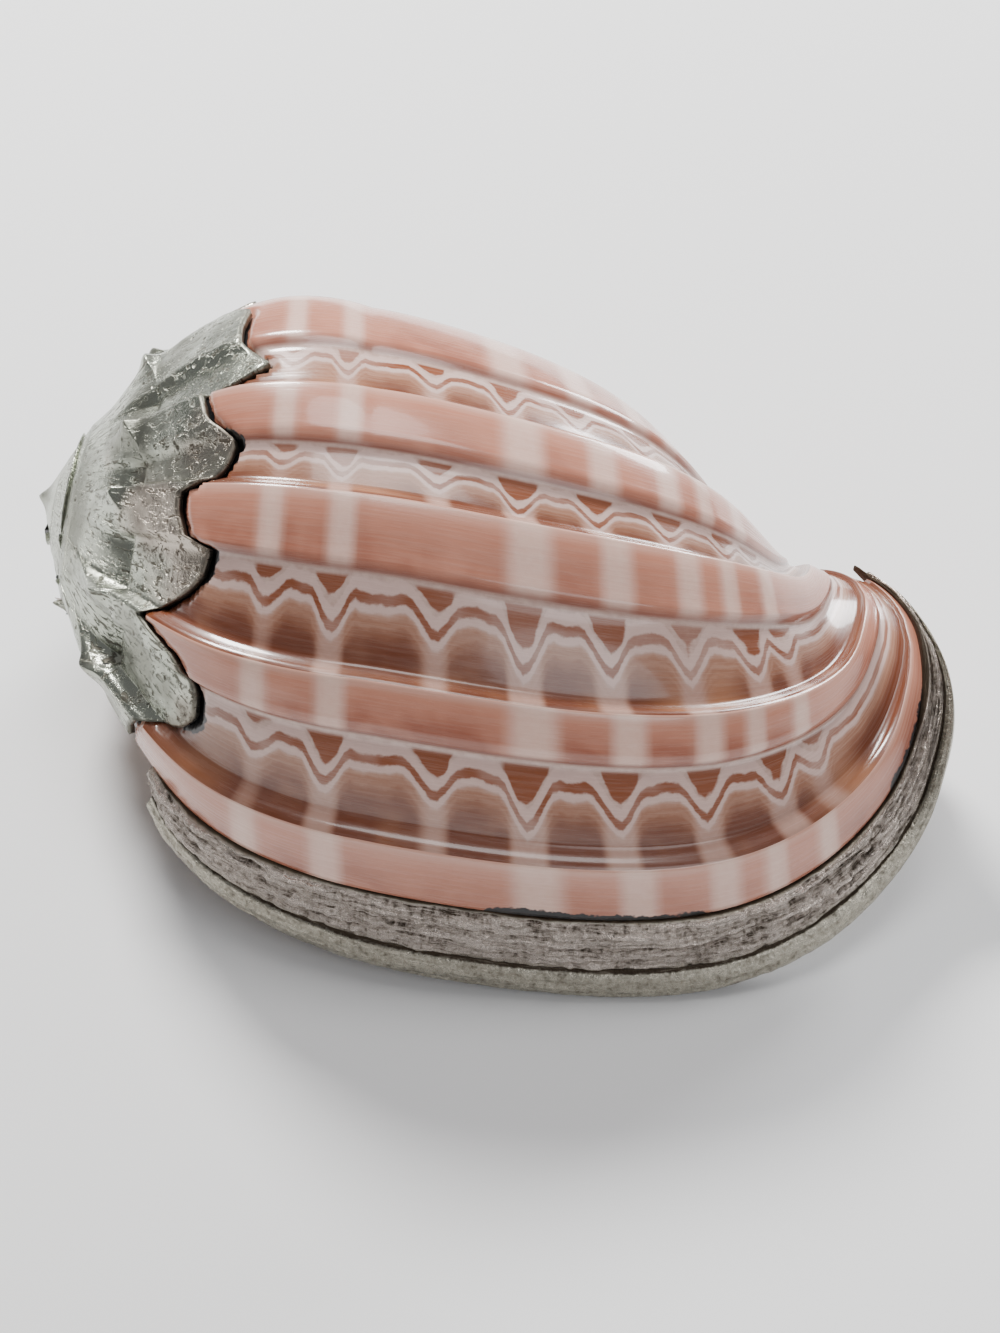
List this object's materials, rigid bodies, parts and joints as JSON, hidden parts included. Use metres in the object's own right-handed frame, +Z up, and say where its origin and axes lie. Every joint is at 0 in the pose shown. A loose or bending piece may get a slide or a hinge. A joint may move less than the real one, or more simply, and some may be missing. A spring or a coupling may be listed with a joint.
{
  "type": "silver-clad seashell",
  "caption": "Ribbed harp seashell lying on its aperture, with a scalloped silver cap over the spire and a silver band along the lip, used as a table ornament or scoop.",
  "frame": {"origin": "centre of the bounding box's underside, on the table", "axes": "+X from the spire to the canal, +Z up, the lip on the -Y side, aperture down"},
  "size_m": [0.0946, 0.0622, 0.0466],
  "materials": {
    "shell": "glossy natural shell with brown and pink rib blocks and wavy brown lines",
    "silver_spire_cap": "polished silver with dark pits and fine wear",
    "silver_lip_band": "rough bright silver with a long grain and dark hollows"
  },
  "bodies": {
    "root": {"shell": "shell", "silver_spire_cap": "silver_spire_cap", "silver_lip_band": "silver_lip_band"}
  },
  "joints": []
}
